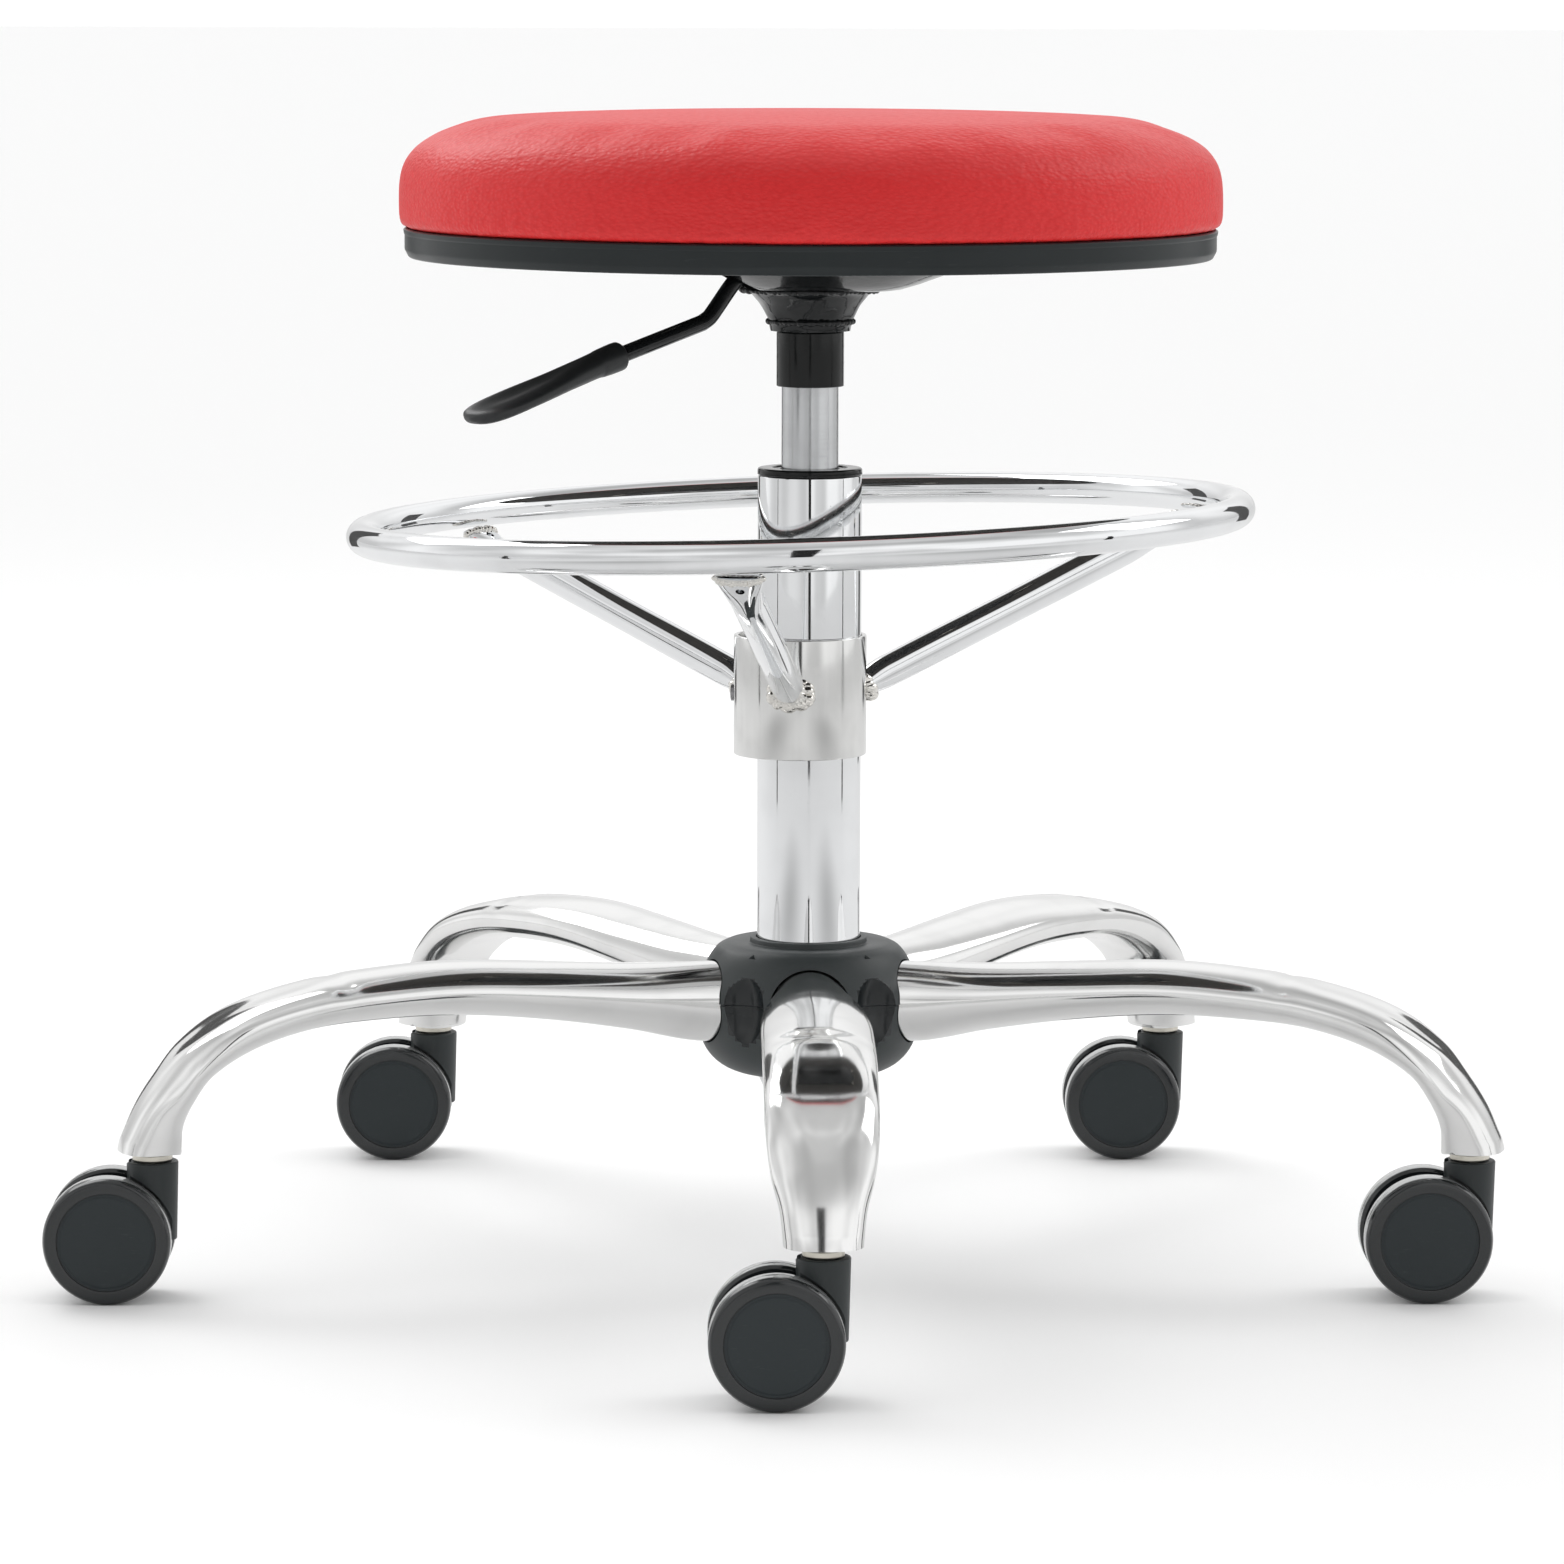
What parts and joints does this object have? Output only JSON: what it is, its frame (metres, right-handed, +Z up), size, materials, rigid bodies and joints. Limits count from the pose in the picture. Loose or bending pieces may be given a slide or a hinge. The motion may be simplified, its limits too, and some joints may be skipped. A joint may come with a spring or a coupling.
{
  "type": "rolling swivel stool",
  "caption": "Round padded swivel stool with a gas lift, a height lever, a clamped foot ring and a star base on twin-wheel casters.",
  "frame": {"origin": "on the floor, in the middle of the stool's footprint", "axes": "+Z up, -Y the way the front leg points, +X to the right of someone who faces +Y"},
  "size_m": [0.6877, 0.6334, 0.5545],
  "materials": {
    "polished_chrome": "polished chrome plate on a drawn steel tube",
    "leg_chrome": "polished chrome plate on formed steel tube, with faint forming ripples",
    "ring_chrome": "polished chrome plate over bent and welded tube",
    "satin_chrome": "duller chrome plate with fine drawing lines",
    "ground_steel": "ground and hard-plated lift cylinder and rod",
    "zinc_steel": "zinc-plated steel, slightly yellow",
    "plain_steel": "plain oiled steel",
    "black_enamel": "glossy black enamel over pressed and welded steel",
    "black_plastic": "satin black moulded plastic",
    "grip_plastic": "fine-grained black moulded grip",
    "hub_plastic": "finely textured anthracite moulding",
    "edge_plastic": "extruded anthracite edge band with a thin lip",
    "caster_plastic": "anthracite moulded caster body",
    "wheel_plastic": "anthracite wheel: matte disc, glossy rim and grey tread",
    "seat_vinyl": "red grained vinyl upholstery, semi-matt",
    "board_plywood": "bare plywood seat board",
    "bump_rubber": "moulded black rubber"
  },
  "bodies": {
    "base": {"column_tube": "polished_chrome", "guide_bush": "black_plastic", "thrust_bearing": "plain_steel", "bump_stop": "bump_rubber", "hub_core": "plain_steel", "hub_cover_top": "hub_plastic", "hub_cover_bottom": "hub_plastic", "leg_1": "leg_chrome", "leg_2": "leg_chrome", "leg_3": "leg_chrome", "leg_4": "leg_chrome", "leg_5": "leg_chrome", "caster_1_stem": "zinc_steel", "caster_2_stem": "zinc_steel", "caster_3_stem": "zinc_steel", "caster_4_stem": "zinc_steel", "caster_5_stem": "zinc_steel"},
    "lift_rod": {"piston_rod": "ground_steel", "retaining_clip": "plain_steel"},
    "seat": {"gas_cylinder": "ground_steel", "taper_sleeve": "black_plastic", "seat_plate": "black_enamel", "lever_pin": "plain_steel", "seat_board": "board_plywood", "trim_band": "edge_plastic", "cushion": "seat_vinyl", "seat_screw_1": "zinc_steel", "seat_screw_2": "zinc_steel", "seat_screw_3": "zinc_steel", "seat_screw_4": "zinc_steel"},
    "lever": {"lever_rod": "black_enamel", "lever_grip": "grip_plastic"},
    "valve_button": {"valve_button": "plain_steel"},
    "foot_rest": {"foot_ring": "ring_chrome", "ring_arm_1": "ring_chrome", "ring_arm_2": "ring_chrome", "ring_arm_3": "ring_chrome", "ring_collar": "satin_chrome", "clamp_screw": "plain_steel"},
    "caster_1": {"caster_1_hood": "caster_plastic", "caster_1_axle": "plain_steel"},
    "caster_1_wheel_a": {"caster_1_wheel_a": "wheel_plastic"},
    "caster_1_wheel_b": {"caster_1_wheel_b": "wheel_plastic"},
    "caster_2": {"caster_2_hood": "caster_plastic", "caster_2_axle": "plain_steel"},
    "caster_2_wheel_a": {"caster_2_wheel_a": "wheel_plastic"},
    "caster_2_wheel_b": {"caster_2_wheel_b": "wheel_plastic"},
    "caster_3": {"caster_3_hood": "caster_plastic", "caster_3_axle": "plain_steel"},
    "caster_3_wheel_a": {"caster_3_wheel_a": "wheel_plastic"},
    "caster_3_wheel_b": {"caster_3_wheel_b": "wheel_plastic"},
    "caster_4": {"caster_4_hood": "caster_plastic", "caster_4_axle": "plain_steel"},
    "caster_4_wheel_a": {"caster_4_wheel_a": "wheel_plastic"},
    "caster_4_wheel_b": {"caster_4_wheel_b": "wheel_plastic"},
    "caster_5": {"caster_5_hood": "caster_plastic", "caster_5_axle": "plain_steel"},
    "caster_5_wheel_a": {"caster_5_wheel_a": "wheel_plastic"},
    "caster_5_wheel_b": {"caster_5_wheel_b": "wheel_plastic"}
  },
  "joints": [
    {"name": "seat_swivel", "type": "hinge", "parent": "base", "child": "lift_rod", "pos_m": [0.0176, 0.0313, 0.0845], "axis": [0, 0, 1], "continuous": true},
    {"name": "seat_height", "type": "slide", "parent": "lift_rod", "child": "seat", "axis": [0, 0, 1], "range_m": [-0.035, 0.16]},
    {"name": "lever_lift", "type": "hinge", "parent": "seat", "child": "lever", "pos_m": [-0.00538, 0.01202, 0.48], "axis": [-0.6428, 0.766, 0], "range_deg": [0, 6], "stiffness_Nm_per_rad": 14},
    {"name": "button_press", "type": "slide", "parent": "seat", "child": "valve_button", "axis": [0, 0, 1], "range_m": [-0.0032, 0]},
    {"name": "foot_rest_height", "type": "slide", "parent": "base", "child": "foot_rest", "axis": [0, 0, 1], "range_m": [-0.08, 0.035]},
    {"name": "caster_1_turn", "type": "hinge", "parent": "base", "child": "caster_1", "pos_m": [0.0176, -0.2953, 0.055], "axis": [0, 0, 1], "continuous": true},
    {"name": "caster_1_roll_a", "type": "hinge", "parent": "caster_1", "child": "caster_1_wheel_a", "pos_m": [-0.0029, -0.30935, 0.03], "axis": [0, 1, 0], "continuous": true},
    {"name": "caster_1_roll_b", "type": "hinge", "parent": "caster_1", "child": "caster_1_wheel_b", "pos_m": [-0.0029, -0.28125, 0.03], "axis": [0, 1, 0], "continuous": true},
    {"name": "caster_2_turn", "type": "hinge", "parent": "base", "child": "caster_2", "pos_m": [0.32821, -0.06963, 0.055], "axis": [0, 0, 1], "continuous": true},
    {"name": "caster_2_roll_a", "type": "hinge", "parent": "caster_2", "child": "caster_2_wheel_a", "pos_m": [0.30772, -0.08367, 0.03], "axis": [0, 1, 0], "continuous": true},
    {"name": "caster_2_roll_b", "type": "hinge", "parent": "caster_2", "child": "caster_2_wheel_b", "pos_m": [0.30772, -0.05557, 0.03], "axis": [0, 1, 0], "continuous": true},
    {"name": "caster_3_turn", "type": "hinge", "parent": "base", "child": "caster_3", "pos_m": [0.20957, 0.29552, 0.055], "axis": [0, 0, 1], "continuous": true},
    {"name": "caster_3_roll_a", "type": "hinge", "parent": "caster_3", "child": "caster_3_wheel_a", "pos_m": [0.18907, 0.28147, 0.03], "axis": [0, 1, 0], "continuous": true},
    {"name": "caster_3_roll_b", "type": "hinge", "parent": "caster_3", "child": "caster_3_wheel_b", "pos_m": [0.18907, 0.30957, 0.03], "axis": [0, 1, 0], "continuous": true},
    {"name": "caster_4_turn", "type": "hinge", "parent": "base", "child": "caster_4", "pos_m": [-0.17437, 0.29552, 0.055], "axis": [0, 0, 1], "continuous": true},
    {"name": "caster_4_roll_a", "type": "hinge", "parent": "caster_4", "child": "caster_4_wheel_a", "pos_m": [-0.19487, 0.28147, 0.03], "axis": [0, 1, 0], "continuous": true},
    {"name": "caster_4_roll_b", "type": "hinge", "parent": "caster_4", "child": "caster_4_wheel_b", "pos_m": [-0.19487, 0.30957, 0.03], "axis": [0, 1, 0], "continuous": true},
    {"name": "caster_5_turn", "type": "hinge", "parent": "base", "child": "caster_5", "pos_m": [-0.29302, -0.06963, 0.055], "axis": [0, 0, 1], "continuous": true},
    {"name": "caster_5_roll_a", "type": "hinge", "parent": "caster_5", "child": "caster_5_wheel_a", "pos_m": [-0.31351, -0.08367, 0.03], "axis": [0, 1, 0], "continuous": true},
    {"name": "caster_5_roll_b", "type": "hinge", "parent": "caster_5", "child": "caster_5_wheel_b", "pos_m": [-0.31351, -0.05557, 0.03], "axis": [0, 1, 0], "continuous": true}
  ],
  "couplings": [
    {"joint": "button_press", "follows": "lever_lift", "m_per_rad": -0.03}
  ]
}
